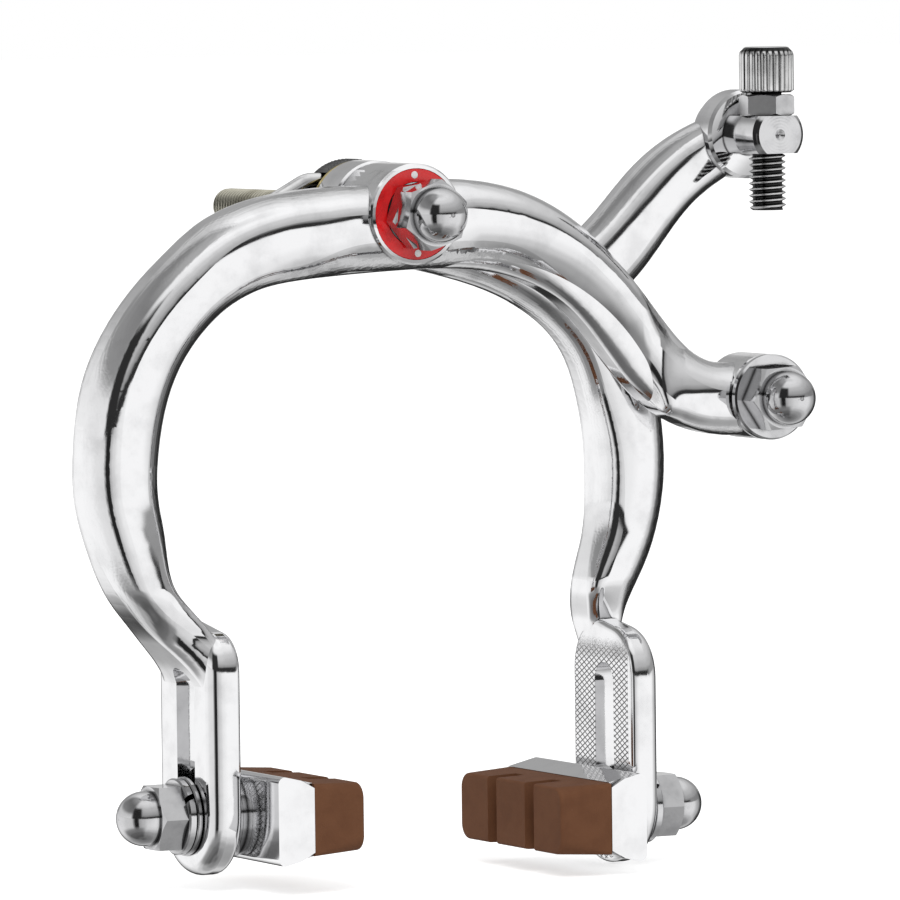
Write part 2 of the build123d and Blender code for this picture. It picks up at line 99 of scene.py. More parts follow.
# Materials: Wire is a socket that can be used in sums, Finish is one material
class Wire:
    def __init__(self, finish, socket):
        self.finish = finish
        self.socket = socket

    def __add__(self, other):
        return self.finish.math("ADD", self, other)

    def __radd__(self, other):
        return self.finish.math("ADD", other, self)

    def __sub__(self, other):
        return self.finish.math("SUBTRACT", self, other)

    def __rsub__(self, other):
        return self.finish.math("SUBTRACT", other, self)

    def __mul__(self, other):
        return self.finish.math("MULTIPLY", self, other)

    def __rmul__(self, other):
        return self.finish.math("MULTIPLY", other, self)

    def __truediv__(self, other):
        return self.finish.math("DIVIDE", self, other)

    def __rtruediv__(self, other):
        return self.finish.math("DIVIDE", other, self)

    def __pow__(self, other):
        return self.finish.math("POWER", self, other)

    def __gt__(self, other):
        return self.finish.math("GREATER_THAN", self, other)

    def __lt__(self, other):
        return self.finish.math("LESS_THAN", self, other)


class Finish:
    def __init__(self, name, owner=None):
        self.material = owner or bpy.data.materials.new(name)
        self.material.use_nodes = True
        self.tree = self.material.node_tree
        self.tree.nodes.clear()

    def node(self, kind, settings=None, sockets=None, output=0):
        made = self.tree.nodes.new(kind)
        for key, value in (settings or {}).items():
            setattr(made, key, value)
        for key, value in (sockets or {}).items():
            if isinstance(value, Wire):
                self.tree.links.new(value.socket, made.inputs[key])
            else:
                made.inputs[key].default_value = value
        return None if output is None else Wire(self, made.outputs[output])

    def spot(self):
        return self.node("ShaderNodeTexCoord", output="Object")

    def axes(self, place):
        return [self.node("ShaderNodeSeparateXYZ", None, {0: place}, output) for output in range(3)]

    def math(self, operation, first, second=0.0):
        return self.node("ShaderNodeMath", {"operation": operation}, {0: first, 1: second})

    def noise(self, place, size, detail=3.0, rough=0.55):
        # size is the length of one lump in metres
        sockets = {"Vector": place, "Scale": 1 / size, "Detail": detail, "Roughness": rough}
        return self.node("ShaderNodeTexNoise", None, sockets, output="Fac")

    def fade(self, value, low, high):
        # 0 at low, 1 at high, smooth in between
        settings = {"interpolation_type": "SMOOTHSTEP"}
        return self.node("ShaderNodeMapRange", settings, {"Value": value, "From Min": low, "From Max": high})

    def seam(self, reach, low, high):
        # painted shade mask from ambient occlusion: 1 in the seams between pieces and in inner corners, 0 in
        # the open
        openness = self.node("ShaderNodeAmbientOcclusion", {"samples": 6}, {"Distance": reach}, output="AO")
        return 1 - self.fade(openness, low, high)

    def blendColour(self, factor, first, second):
        made = self.tree.nodes.new("ShaderNodeMix")
        made.data_type = "RGBA"
        self.tree.links.new(factor.socket, made.inputs["Factor"])
        for socket, value in zip((made.inputs[6], made.inputs[7]), (first, second)):
            if isinstance(value, Wire):
                self.tree.links.new(value.socket, socket)
            else:
                socket.default_value = (*value, 1)
        return Wire(self, made.outputs[2])

    def bump(self, height, depth, under=None):
        # height runs from 0 to 1 over depth metres
        sockets = {"Height": height * depth, "Distance": 1.0, "Strength": 1.0}
        if under:
            sockets["Normal"] = under
        return self.node("ShaderNodeBump", None, sockets)

    def surface(self, sockets):
        shader = self.node("ShaderNodeBsdfPrincipled", None, sockets)
        self.node("ShaderNodeOutputMaterial", None, {"Surface": shader}, output=None)
        return self.material


def plated(f, spot, look):
    # what all the metals share: colour with a few stains, roughness and fine grain
    grain = f.noise(spot, look["grainSize"], 2.0, 0.7)
    stain = f.fade(f.noise(spot, look["stainSize"], 4.0), *look["stainRange"])
    colour = f.blendColour(stain, look["colour"], look["stainColour"])
    return colour, look["rough"] + look["roughSpread"] * stain, grain


# painted shade: a near-black colour mixed into the seams between pieces and into inner corners
def seamShaded(f, colour, look):
    # dark dirt in the seams
    seam = f.seam(look["seamReach"], *look["seamRange"])
    return f.blendColour(seam * look["seamShadeShare"], colour, look["seamShadeColour"])


def metalSurface(f, colour, rough, normal):
    return f.surface({"Base Color": colour, "Metallic": 1.0, "Roughness": rough, "Normal": normal})


def metalFinish(name, look):
    # speckled polish: slow waves from hand polishing under the grain
    f = Finish(name)
    spot = f.spot()
    colour, rough, grain = plated(f, spot, look)
    under = f.bump(f.noise(spot, look["waveSize"], 2.0), look["waveDepth"])
    return metalSurface(f, seamShaded(f, colour, look), rough, f.bump(grain, look["grainDepth"], under))


armLook = {
    "colour": (0.87, 0.87, 0.88),
    "stainColour": (0.76, 0.76, 0.77),
    "stainSize": 5 * mm,
    "stainRange": (0.42, 0.75),
    # painted shade: the next two set the dark colour and its share in the seams and inner corners
    "seamShadeColour": (0.03, 0.03, 0.03),
    "seamShadeShare": 0.9,
    "seamReach": 0.4 * mm,
    "seamRange": (0.4, 0.92),
    "rough": 0.05,
    "roughSpread": 0.05,
    "waveSize": 9 * mm,
    "waveDepth": 0.06 * mm,
    "grainSize": 0.22 * mm,
    "grainDepth": 0.0012 * mm,
}
hardwareLook = dict(armLook, colour=(0.66, 0.66, 0.67), stainColour=(0.48, 0.48, 0.49), rough=0.09,
                    waveSize=2.5 * mm, waveDepth=0.02 * mm, grainDepth=0.0016 * mm, seamReach=0.9 * mm)
wireLook = dict(hardwareLook, colour=(0.80, 0.80, 0.80), rough=0.12)
satinLook = dict(hardwareLook, colour=(0.84, 0.84, 0.85), stainColour=(0.62, 0.62, 0.63), rough=0.34)
sheetLook = dict(hardwareLook, colour=(0.88, 0.88, 0.89), stainColour=(0.80, 0.80, 0.81), waveSize=8 * mm,
                 waveDepth=0.015 * mm, rough=0.07)
# painted shade: the root colour below darkens the hollows of the thread
threadLook = dict(hardwareLook, colour=(0.56, 0.54, 0.45), stainColour=(0.36, 0.34, 0.27), rough=0.24,
                  rootShadeColour=(0.05, 0.045, 0.03), headFrom=3.6 * mm, threadRise=(2.5 * mm, 2.95 * mm),
                  ribRise=(4.12 * mm, 4.4 * mm))
silverThreadLook = dict(threadLook, colour=(0.82, 0.82, 0.82), stainColour=(0.62, 0.62, 0.62), rough=0.14,
                        rootShadeColour=(0.03, 0.03, 0.03))
brassLook = dict(hardwareLook, colour=(0.83, 0.68, 0.30), stainColour=(0.62, 0.47, 0.18), rough=0.2)
seatLook = dict(hardwareLook, colour=(0.13, 0.13, 0.13), stainColour=(0.05, 0.05, 0.05), rough=0.34,
                grainDepth=0.004 * mm)


# the arms' front faces are crowned: their middle lines as arcs in X and Z, in mm, each used past its "from"
frontCrown = {
    "radius": 9.5 * mm,
    "reach": 8.0 * mm,
    "blend": 4 * mm,
    "arcs": [
        {"centre": (-16.0, -38.0), "radius": 36.0},
        {"centre": (-4.0, -403.0), "radius": 402.0, "from": (-14.0, -2.0), "heading": (1.0, 0.0)},
        {"centre": (11.0, -44.0), "radius": 44.6, "from": (8.0, -3.5), "heading": (1.0, 0.0)},
        {"centre": (55.0, 268.8), "radius": 300.0, "from": (45.5, -26.0), "heading": (1.0, 0.0)},
    ],
    "lowZ": (-67 * mm, -58 * mm),
}
rearCrown = {
    "radius": 9.5 * mm,
    "reach": 8.0 * mm,
    "blend": 4 * mm,
    "arcs": [
        {"centre": (10.0, -38.0), "radius": 35.6},
        {"centre": (318.0, -292.0), "radius": 396.0, "from": (36.0, -14.0), "heading": (0.7, 0.7)},
    ],
    "lowZ": (-68 * mm, -60 * mm),
    "leanZ": (-53 * mm, -19 * mm),
    "lean": 7.4 * mm,
}
knurlLook = {
    "pitchY": 1.7 * mm,
    "pitchZ": 0.95 * mm,
    "grooveWidth": 0.42,
    # painted shade: the next two darken the knurl's grooves
    "grooveShadeColour": (0.05, 0.05, 0.05),
    "grooveShadeShare": 0.85,
    "depth": 0.16 * mm,
    "rough": 0.1,
    "insideX": 35.17 * mm,
    "fromY": -30.1 * mm,
    "toY": -12.0 * mm,
    "topFade": (-3 * mm, 1 * mm),
    "topRagged": 3 * mm,
}


def crownHeight(f, x, z, crown):
    # 1 on the middle line, less on both sides of it
    away = 0.0
    for arc in crown["arcs"]:
        offX = x - arc["centre"][0] * mm
        offZ = z - arc["centre"][1] * mm
        off = f.math("SQRT", offX * offX + offZ * offZ) - arc["radius"] * mm
        past = 1.0
        if "from" in arc:
            headingX, headingZ = arc["heading"]
            past = (x - arc["from"][0] * mm) * headingX + (z - arc["from"][1] * mm) * headingZ
            past = f.fade(past, -crown["blend"], crown["blend"])
        away = (1 - past) * away + off * past
    share = f.math("MINIMUM", away * away / crown["reach"] ** 2, 1.0)
    return (1 - share) * f.fade(z, *crown["lowZ"])


def knurlMask(f, y, z, knurl):
    # 1 on the diamonds' tops, 0 in the grooves that cross between them
    across = y / knurl["pitchY"]
    upward = z / knurl["pitchZ"]
    risen = 1.0
    for lean in (across + upward, across - upward):
        wave = f.math("ABSOLUTE", f.math("SINE", lean * math.pi))
        risen = f.fade(wave, 0.0, knurl["grooveWidth"]) * risen
    return risen


def armFinish(name, look, knurl, topZ, crown):
    # the polish of the arms, with crossed knurling on the wheel side of the pad plate, its grooves darkened
    # with painted shade
    f = Finish(name)
    spot = f.spot()
    x, y, z = f.axes(spot)
    colour, rough, grain = plated(f, spot, look)
    raggedZ = z + grain * knurl["topRagged"]
    topFade = 1 - f.fade(raggedZ, *(topZ + end for end in knurl["topFade"]))
    inside = (f.math("ABSOLUTE", x) < knurl["insideX"]) * (z < topZ)
    onFace = inside * (y > knurl["fromY"]) * (y < knurl["toY"]) * topFade
    risen = knurlMask(f, y, z, knurl)
    # painted shade: the knurl's grooves are mixed towards a near-black colour
    colour = f.blendColour((1 - risen) * onFace * knurl["grooveShadeShare"], colour, knurl["grooveShadeColour"])
    under = f.bump(crownHeight(f, x, z, crown), crown["reach"] ** 2 / (2 * crown["radius"]))
    if "lean" in crown:
        under = f.bump(f.fade(z, *crown["leanZ"]), crown["lean"], under)
    under = f.bump(f.noise(spot, look["waveSize"], 2.0), look["waveDepth"], under)
    under = f.bump(grain, look["grainDepth"], under)
    normal = f.bump(risen * onFace, knurl["depth"], under)
    return metalSurface(f, seamShaded(f, colour, look), rough + knurl["rough"] * onFace, normal)


# where the adjuster's upright axis and the stop's level axis lie
adjusterX = 66.2 * mm
adjusterY = -22.5 * mm
stopZ = 11.4 * mm
turnedLook = {"pitch": 0.5 * mm, "depth": 0.006 * mm}


def turnedFinish(name, look, turned):
    # the hardware finish with the fine rings that a lathe leaves on an end face
    f = Finish(name)
    spot = f.spot()
    x, y, z = f.axes(spot)
    colour, rough, grain = plated(f, spot, look)
    away = f.math("SQRT", (x - adjusterX) ** 2.0 + (z - stopZ) ** 2.0)
    rings = f.math("SINE", away * (2 * math.pi / turned["pitch"]))
    under = f.bump(rings * 0.5 + 0.5, turned["depth"])
    return metalSurface(f, seamShaded(f, colour, look), rough, f.bump(grain, look["grainDepth"], under))


def threadFinish(name, look, axis):
    # painted shade: dark roots between the pale crests and ribs, by the distance from the bar's axis
    f = Finish(name)
    spot = f.spot()
    colour, rough, grain = plated(f, spot, look)
    square = 0.0
    for place, middle in zip(f.axes(spot), axis):
        if middle is not None:
            square = (place - middle) ** 2.0 + square
    away = f.math("SQRT", square)
    inHead = away > look["headFrom"]
    threadRoot = 1 - f.fade(away, *look["threadRise"])
    ribRoot = 1 - f.fade(away, *look["ribRise"])
    root = threadRoot * (1 - inHead) + ribRoot * inHead
    # painted shade in the roots of the thread and between the head's ribs
    colour = f.blendColour(root, colour, look["rootShadeColour"])
    return metalSurface(f, colour, rough, f.bump(grain, look["grainDepth"]))


rubberLook = {
    "colour": (0.158, 0.066, 0.031),
    "darkColour": (0.138, 0.056, 0.026),
    "patchSize": 4 * mm,
    "patchRange": (0.35, 0.7),
    "dustColour": (0.22, 0.11, 0.065),
    "dustRange": (0.62, 0.8),
    "dustShare": 0.35,
    "grainSize": 0.35 * mm,
    "grainDepth": 0.03 * mm,
    "rough": 0.7,
    "roughSpread": 0.12,
    "specular": 0.2,
}


def rubberFinish(name, look):
    # moulded compound: matt, grainy and faintly blotched, with a little dust
    f = Finish(name)
    spot = f.spot()
    grain = f.noise(spot, look["grainSize"], 3.0, 0.6)
    patch = f.fade(f.noise(spot, look["patchSize"], 3.0), *look["patchRange"])
    colour = f.blendColour(patch, look["colour"], look["darkColour"])
    dust = f.fade(grain, *look["dustRange"])
    return f.surface({
        "Base Color": f.blendColour(dust * look["dustShare"], colour, look["dustColour"]),
        "Roughness": look["rough"] + look["roughSpread"] * grain,
        "Normal": f.bump(grain, look["grainDepth"]),
        "Specular IOR Level": look["specular"],
    })


enamelLook = {
    "colour": (0.72, 0.012, 0.014),
    "deepColour": (0.50, 0.008, 0.010),
    "flowSize": 2.5 * mm,
    "flowRange": (0.4, 0.75),
    "grainSize": 0.5 * mm,
    "grainDepth": 0.01 * mm,
    "rough": 0.22,
    "roughSpread": 0.1,
    "coat": 0.25,
    "coatRough": 0.08,
}
dotLook = dict(enamelLook, colour=(0.85, 0.85, 0.84), deepColour=(0.74, 0.74, 0.73))


def enamelFinish(name, look):
    # flowed enamel: glossy, slightly uneven in depth
    f = Finish(name)
    spot = f.spot()
    depth = f.fade(f.noise(spot, look["flowSize"], 3.0), *look["flowRange"])
    return f.surface({
        "Base Color": f.blendColour(depth, look["colour"], look["deepColour"]),
        "Roughness": look["rough"] + look["roughSpread"] * depth,
        "Normal": f.bump(f.noise(spot, look["grainSize"], 2.0), look["grainDepth"]),
        "Coat Weight": look["coat"],
        "Coat Roughness": look["coatRough"],
    })


# the arms' knurling ends at these heights
frontKnurlTop = -66.0 * mm
rearKnurlTop = -69.0 * mm
finishes = {
    "frontArm": armFinish("frontArmPolish", armLook, knurlLook, frontKnurlTop, frontCrown),
    "rearArm": armFinish("rearArmPolish", armLook, knurlLook, rearKnurlTop, rearCrown),
    "hardware": metalFinish("hardwarePlate", hardwareLook),
    "stop": turnedFinish("turnedStop", hardwareLook, turnedLook),
    "satin": metalFinish("satinPlate", satinLook),
    "sheet": metalFinish("holderSheet", sheetLook),
    "spring": metalFinish("springWire", wireLook),
    "zincThread": threadFinish("zincThread", threadLook, (0.0, None, 0.0)),
    "silverThread": threadFinish("silverThread", silverThreadLook, (adjusterX, adjusterY, None)),
    "brass": metalFinish("turnedBrass", brassLook),
    "seat": metalFinish("darkSeat", seatLook),
    "rubber": rubberFinish("brownRubber", rubberLook),
    "red": enamelFinish("redEnamel", enamelLook),
    "dots": enamelFinish("whiteEnamel", dotLook),
}
print("materials made")


def dress(piece, material):
    piece.data.materials.clear()
    piece.data.materials.append(material)


nodeFinish = {
    "front_arm": finishes["frontArm"],
    "rear_arm": finishes["rearArm"],
    "pivot_bolt": finishes["zincThread"],
    "return_spring": finishes["spring"],
    "spring_seat": finishes["seat"],
    "rear_brass_washer": finishes["brass"],
    "trim_ring": finishes["red"],
    "cable_stop": finishes["stop"],
    "adjuster_lock_nut": finishes["satin"],
    "left_pad_rubber": finishes["rubber"],
    "right_pad_rubber": finishes["rubber"],
    "left_pad_holder": finishes["sheet"],
    "right_pad_holder": finishes["sheet"],
}
for name, node in nodes.items():
    dress(node, nodeFinish.get(name, finishes["hardware"]))

edgeSpec = {
    "nodes": ("adjusting_nut", "pivot_cap_nut", "anchor_cap_nut", "adjuster_lock_nut", "left_pad_cap_nut",
              "right_pad_cap_nut", "cable_stop", "left_pad_holder", "right_pad_holder"),
    "width": 0.16 * mm,
    "segments": 2,
    "angle": 35,
}


def breakEdges(spec):
    for name in spec["nodes"]:
        edge = nodes[name].modifiers.new("brokenEdge", "BEVEL")
        edge.width = spec["width"]
        edge.segments = spec["segments"]
        edge.limit_method = "ANGLE"
        edge.angle_limit = math.radians(spec["angle"])
        edge.harden_normals = True


breakEdges(edgeSpec)
print("solids dressed")


# Mesh making: a turned piece is rows of rings round an axis, and each row gives its radius at an angle
def meshPiece(name, points, faces, material, smooth=True):
    mesh = bpy.data.meshes.new(name)
    mesh.from_pydata(points, [], faces)
    mesh.validate()
    mesh.polygons.foreach_set("use_smooth", [smooth] * len(mesh.polygons))
    made = bpy.data.objects.new(name, mesh)
    bpy.context.scene.collection.objects.link(made)
    mesh.materials.append(material)
    return made


def turnedPoints(rows, segments, frameOf, closed):
    # rows: (distance along the axis, radius or a function of angle and distance)
    points = []
    faces = []
    for distance, radius in rows:
        for count in range(segments):
            angle = 2 * math.pi * count / segments
            size = radius(angle, distance) if callable(radius) else radius
            points.append(frameOf(distance, size * math.cos(angle), size * math.sin(angle)))
    last = len(rows) if closed else len(rows) - 1
    for row in range(last):
        start = row * segments
        above = (row + 1) % len(rows) * segments
        for count in range(segments):
            after = (count + 1) % segments
            faces.append((start + count, start + after, above + after, above + count))
    if not closed:
        faces.append(tuple(range(segments))[::-1])
        faces.append(tuple((len(rows) - 1) * segments + count for count in range(segments)))
    return points, faces


def threadRadiusAt(thread):
    # M6 coarse: flat crests and rounded roots that run round the bar as a helix
    def radiusAt(angle, distance):
        turn = (distance / thread["pitch"] - thread["hand"] * angle / (2 * math.pi)) % 1
        flank = 0.5 - thread["root"] - thread["crest"]
        rise = min(1.0, max(0.0, (abs(turn - 0.5) - thread["root"]) / flank))
        nearEnd = min(abs(distance - end) for end in thread["ends"])
        reach = min(thread["major"], thread["minor"] + nearEnd * thread["endSlope"] + thread["endRise"])
        return min(thread["minor"] + (thread["major"] - thread["minor"]) * rise, reach)
    return radiusAt


def threadRows(start, end, radiusAt, perPitch, pitch):
    steps = round((end - start) / pitch * perPitch)
    return [(start + (end - start) * count / steps, radiusAt) for count in range(steps + 1)]


# Pivot bolt: threaded for the frame behind, plain where the nuts sit in front
boltSpec = {
    "rearEnd": 43.3 * mm,
    "threadFrom": 0.3 * mm,
    "frontEnd": -33.8 * mm,
    "journalEnd": -25.87 * mm,
    "journalRadius": 3.2 * mm,
    "plainRadius": 3.0 * mm,
    "endBreak": 0.5 * mm,
    "segments": 48,
    "perPitch": 12,
}
boltThread = {
    "pitch": 1.0 * mm,
    "major": 3.0 * mm,
    "minor": 2.42 * mm,
    "root": 0.14,
    "crest": 0.07,
    "hand": 1,
    "endSlope": 1.2,
    "endRise": 0.05 * mm,
    "ends": (43.3 * mm, 0.3 * mm),
}


def makeBolt(spec, thread):
    radiusAt = threadRadiusAt(thread)
    rows = [
        (spec["frontEnd"], spec["plainRadius"] - spec["endBreak"]),
        (spec["frontEnd"] + spec["endBreak"], spec["plainRadius"]),
        (spec["journalEnd"], spec["plainRadius"]),
        (spec["journalEnd"], spec["journalRadius"]),
        (0.0, spec["journalRadius"]),
        (0.0, spec["plainRadius"]),
    ]
    rows += threadRows(spec["threadFrom"], spec["rearEnd"], radiusAt, spec["perPitch"], thread["pitch"])
    points, faces = turnedPoints(rows, spec["segments"], lambda d, a, b: (b, d, a), False)
    bolt = meshPiece("pivotBoltThreaded", points, faces, finishes["zincThread"])
    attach(bolt, "pivot")
    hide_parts("pivot_bolt")


makeBolt(boltSpec, boltThread)
print("bolt threaded")


# Barrel adjuster: threaded barrel, ribbed head and the socket for the cable's casing
barrelSpec = {
    "x": adjusterX,
    "y": adjusterY,
    "bottom": -0.95 * mm,
    "headBottom": 18.25 * mm,
    "top": 25.75 * mm,
    "headRadius": 4.5 * mm,
    "ribs": 26,
    "ribDepth": 0.42 * mm,
    "threadGap": 0.35 * mm,
    "neckGap": 0.3 * mm,
    "neckRise": 0.1 * mm,
    "socketRadius": 2.6 * mm,
    "socketFloor": 18.25 * mm,
    "holeCone": 0.6 * mm,
    "holeRadius": 1.0 * mm,
    # in mm: height above the head's foot or depth below its top, and distance inside its outer radius
    "footSteps": [(0.0, 0.55), (0.12, 0.4)],
    "ribSteps": [(0.4, 0.0), (0.7, 0.0)],
    "ribEndSteps": [(1.5, 0.0), (1.2, 0.03), (0.8, 0.18)],
    "rimSteps": [(0.5, 0.5), (0.22, 0.75), (0.06, 1.0), (0.0, 1.25)],
    # in mm: depth below the top, and distance outside the socket's radius
    "socketSteps": [(0.0, 0.2), (0.06, 0.06), (0.2, 0.0)],
    "segments": 240,
    "perPitch": 12,
}
barrelThread = dict(boltThread, ends=(-0.95 * mm, 17.9 * mm))


def makeBarrel(spec, thread):
    def ribbed(outer):
        def radiusAt(angle, distance):
            wave = abs(math.cos(angle * spec["ribs"] / 2))
            return outer - spec["ribDepth"] * (1 - wave) ** 2
        return radiusAt

    headRadius = spec["headRadius"]
    head = spec["headBottom"]
    top = spec["top"]
    threadEnd = head - spec["threadGap"]
    rows = [(spec["bottom"], spec["holeRadius"])]
    rows += threadRows(spec["bottom"], threadEnd, threadRadiusAt(thread), spec["perPitch"], thread["pitch"])
    rows += [(head - spec["neckGap"], thread["minor"]), (head, thread["minor"] + spec["neckRise"])]
    rows += [(head + up * mm, headRadius - inset * mm) for up, inset in spec["footSteps"]]
    rows += [(head + up * mm, ribbed(headRadius - inset * mm)) for up, inset in spec["ribSteps"]]
    rows += [(top - down * mm, ribbed(headRadius - inset * mm)) for down, inset in spec["ribEndSteps"]]
    rows += [(top - down * mm, headRadius - inset * mm) for down, inset in spec["rimSteps"]]
    rows += [(top - down * mm, spec["socketRadius"] + outset * mm) for down, outset in spec["socketSteps"]]
    rows += [
        (spec["socketFloor"], spec["socketRadius"]),
        (spec["socketFloor"] - spec["holeCone"], spec["holeRadius"]),
    ]

    def upright(distance, across, along):
        return spec["x"] + across, spec["y"] + along, distance

    points, faces = turnedPoints(rows, spec["segments"], upright, True)
    barrel = meshPiece("adjusterBarrelRibbed", points, faces, finishes["silverThread"])
    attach(barrel, "adjuster")
    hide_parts("adjuster_barrel")


makeBarrel(barrelSpec, barrelThread)
print("adjuster made")


# Return spring: each half bends between its seat and the peg of its arm
springSpec = {
    "wire": 1.3 * mm,
    "y": -2.2 * mm,
    "bendRadius": 4.0 * mm,
    "bendSteps": 8,
    "endBreak": 0.35 * mm,
    "runStep": 1.0 * mm,
    "segments": 20,
    "corners": [(0.0, 5.1), (8.0, 5.1), (15.7, 1.0), (34.21, -15.81)],
    "bendFrom": (8.5 * mm, 0, 5.1 * mm),
    "bendTo": (31.0 * mm, 0, -12.9 * mm),
}


def roundedRoute(corners, radius, steps):
    route = [Vector(corners[0])]
    for before, corner, after in zip(corners, corners[1:], corners[2:]):
        here = Vector(corner)
        backward = (Vector(before) - here).normalized()
        forward = (Vector(after) - here).normalized()
        half = backward.angle(forward) / 2
        reach = radius / math.tan(half)
        centre = here + (backward + forward).normalized() * (radius / math.sin(half))
        first = (here + backward * reach - centre).normalized()
        last = (here + forward * reach - centre).normalized()
        for count in range(steps + 1):
            route.append(centre + first.slerp(last, count / steps) * radius)
    route.append(Vector(corners[-1]))
    return route


def makeSpringHalf(side, name, spec):
    corners = [(side * x * mm, z * mm) for x, z in spec["corners"]]
    route = roundedRoute([(x, 0, z) for x, z in corners], spec["bendRadius"], spec["bendSteps"])
    dense = [route[0]]
    for start, end in zip(route, route[1:]):
        steps = max(1, math.ceil((end - start).length / spec["runStep"]))
        dense += [start.lerp(end, count / steps) for count in range(1, steps + 1)]
    points = []
    faces = []
    segments = spec["segments"]
    endBreak = spec["endBreak"]
    stations = [(point, spec["wire"]) for point in dense]
    tail = (dense[-1] - dense[-2]).normalized()
    stations[-1] = (dense[-1] - tail * endBreak, spec["wire"])
    stations.append((dense[-1], spec["wire"] - endBreak))
    for place, (point, radius) in enumerate(stations):
        before = stations[max(place - 1, 0)][0]
        after = stations[min(place + 1, len(stations) - 1)][0]
        heading = (after - before).normalized()
        upward = Vector((0, 1, 0))
        sideways = heading.cross(upward)
        for count in range(segments):
            angle = 2 * math.pi * count / segments
            offset = radius * (math.cos(angle) * sideways + math.sin(angle) * upward)
            points.append(point + offset + Vector((0, spec["y"], 0)))
    for row in range(len(stations) - 1):
        for count in range(segments):
            after = (count + 1) % segments
            start = row * segments
            faces.append((start + count, start + segments + count, start + segments + after, start + after))
    faces.append(tuple(range(segments)))
    faces.append(tuple((len(stations) - 1) * segments + count for count in range(segments))[::-1])
    half = meshPiece(name, points, faces, finishes["spring"])
    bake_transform(half)
    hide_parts("return_spring")


makeSpringHalf(-1, "springHalfLeft", springSpec)
makeSpringHalf(1, "springHalfRight", springSpec)
print("spring made")


# Spring seat: fine straight strokes rolled into its rim
seatSpec = {
    "radius": 8.45 * mm,
    "proud": 0.10 * mm,
    "sunk": 0.05 * mm,
    "count": 84,
    "width": 0.34 * mm,
    "from": -0.5 * mm,
    "to": -3.95 * mm,
    "slotZ": 5.1 * mm,
    "slotHalf": 1.75 * mm,
    "slotFloor": -0.75 * mm,
}


def makeSeatStrokes(spec):
    points = []
    faces = []
    for count in range(spec["count"]):
        angle = 2 * math.pi * count / spec["count"]
        z = spec["radius"] * math.sin(angle)
        low = spec["to"]
        if abs(z - spec["slotZ"]) < spec["slotHalf"]:
            low = spec["slotFloor"]
        half = spec["width"] / 2 / spec["radius"]
        start = len(points)
        ridge = ((angle - half, -spec["sunk"]), (angle, spec["proud"]), (angle + half, -spec["sunk"]))
        for turn, reach in ridge:
            for y in (spec["from"], low):
                size = spec["radius"] + reach
                points.append((size * math.cos(turn), y, size * math.sin(turn)))
        faces += [(start, start + 1, start + 3, start + 2), (start + 2, start + 3, start + 5, start + 4)]
        faces += [(start, start + 2, start + 4), (start + 5, start + 3, start + 1)]
        faces += [(start + 4, start + 5, start + 1, start)]
    strokes = meshPiece("springSeatStrokes", points, faces, finishes["seat"], False)
    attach(strokes, "pivot")


makeSeatStrokes(seatSpec)


# Trim ring: two plain enamel dots
dotSpec = {
    "ringRadius": 6.28 * mm,
    "radius": 0.62 * mm,
    "topShare": 0.85,
    "y": -25.66 * mm,
    "rise": 0.03 * mm,
    "angles": (92, 272),
    "segments": 24,
}


def makeDots(spec):
    points = []
    faces = []
    segments = spec["segments"]
    for degrees in spec["angles"]:
        x = spec["ringRadius"] * math.cos(math.radians(degrees))
        z = spec["ringRadius"] * math.sin(math.radians(degrees))
        start = len(points)
        topRadius = spec["radius"] * spec["topShare"]
        for reach, y in ((spec["radius"], spec["y"]), (topRadius, spec["y"] - spec["rise"])):
            for count in range(segments):
                angle = 2 * math.pi * count / segments
                points.append((x + reach * math.cos(angle), y, z + reach * math.sin(angle)))
        for count in range(segments):
            after = (count + 1) % segments
            faces.append((start + count, start + after, start + segments + after, start + segments + count))
        faces.append(tuple(start + segments + count for count in range(segments)))
        faces.append(tuple(start + count for count in range(segments))[::-1])
    dots = meshPiece("trimRingDots", points, faces, finishes["dots"])
    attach(dots, "front_arm")


makeDots(dotSpec)
print("small trim made")


# Stage: pale floor, lamp and a studio dome that only the metal sees
stageSpec = {
    "floorDrop": 0.3 * mm,
    "floorHalf": 12.0,
    "floorColour": (0.9, 0.9, 0.9),
    "floorRough": 0.9,
    "floorGlow": 0.62,
    "worldLight": 0.62,
    "lampPlace": (-0.7, -1.1, 1.3),
    "lampSize": 0.9,
    "lampPower": 14.0,
    "domeRadius": 6.0,
    "domeColumns": 240,
    "domeRows": 120,
    "domeLimit": 89.9,
}
# what the polish reflects, in degrees: sky by elevation, a dark horizon, and below it walls by azimuth times
# floor by elevation
skyLevels = [(3, 0.03), (9, 0.03), (13, 0.34), (21, 0.5), (40, 0.68), (58, 0.95), (72, 1.08), (90, 0.9)]
leftSkyLevels = [(3, 0.95), (14, 0.85), (28, 0.3), (50, 0.24), (72, 0.45), (90, 0.9)]
leftSky = {"middle": -120, "half": 38, "soft": 26}
wallLevels = [(-180, 0.45), (-172, 0.8), (-160, 1.05), (-130, 1.0), (-100, 0.85), (-74, 0.8), (-67, 0.35),
              (-61, 0.02), (-46, 0.02), (-42, 0.55), (-25, 0.75), (0, 0.95), (22, 1.05), (60, 1.05),
              (90, 0.6), (112, 0.12), (122, 0.03), (166, 0.03), (180, 0.45)]
floorLevels = [(-90, 0.14), (-75, 0.26), (-57, 0.42), (-47, 0.66), (-38, 0.9), (-24, 1.0), (1, 1.0), (3, 0.9)]
backWall = {"middle": 153, "half": 26, "soft": 14, "level": 0.38, "top": 24, "fade": 12}
darkStrip = {"middle": -53, "half": 16, "soft": 10, "level": 0.03, "top": 40, "fade": 12}
leftFloor = {"middle": -80, "half": 45, "soft": 28, "level": 0.4, "top": -28, "fade": 12}
evenFloor = {"top": -26, "fade": 22}
deepFloor = {"top": -70, "fade": 18}
backPatch = {"middle": 152.7, "half": 8, "soft": 5, "level": 0.66, "top": 8}
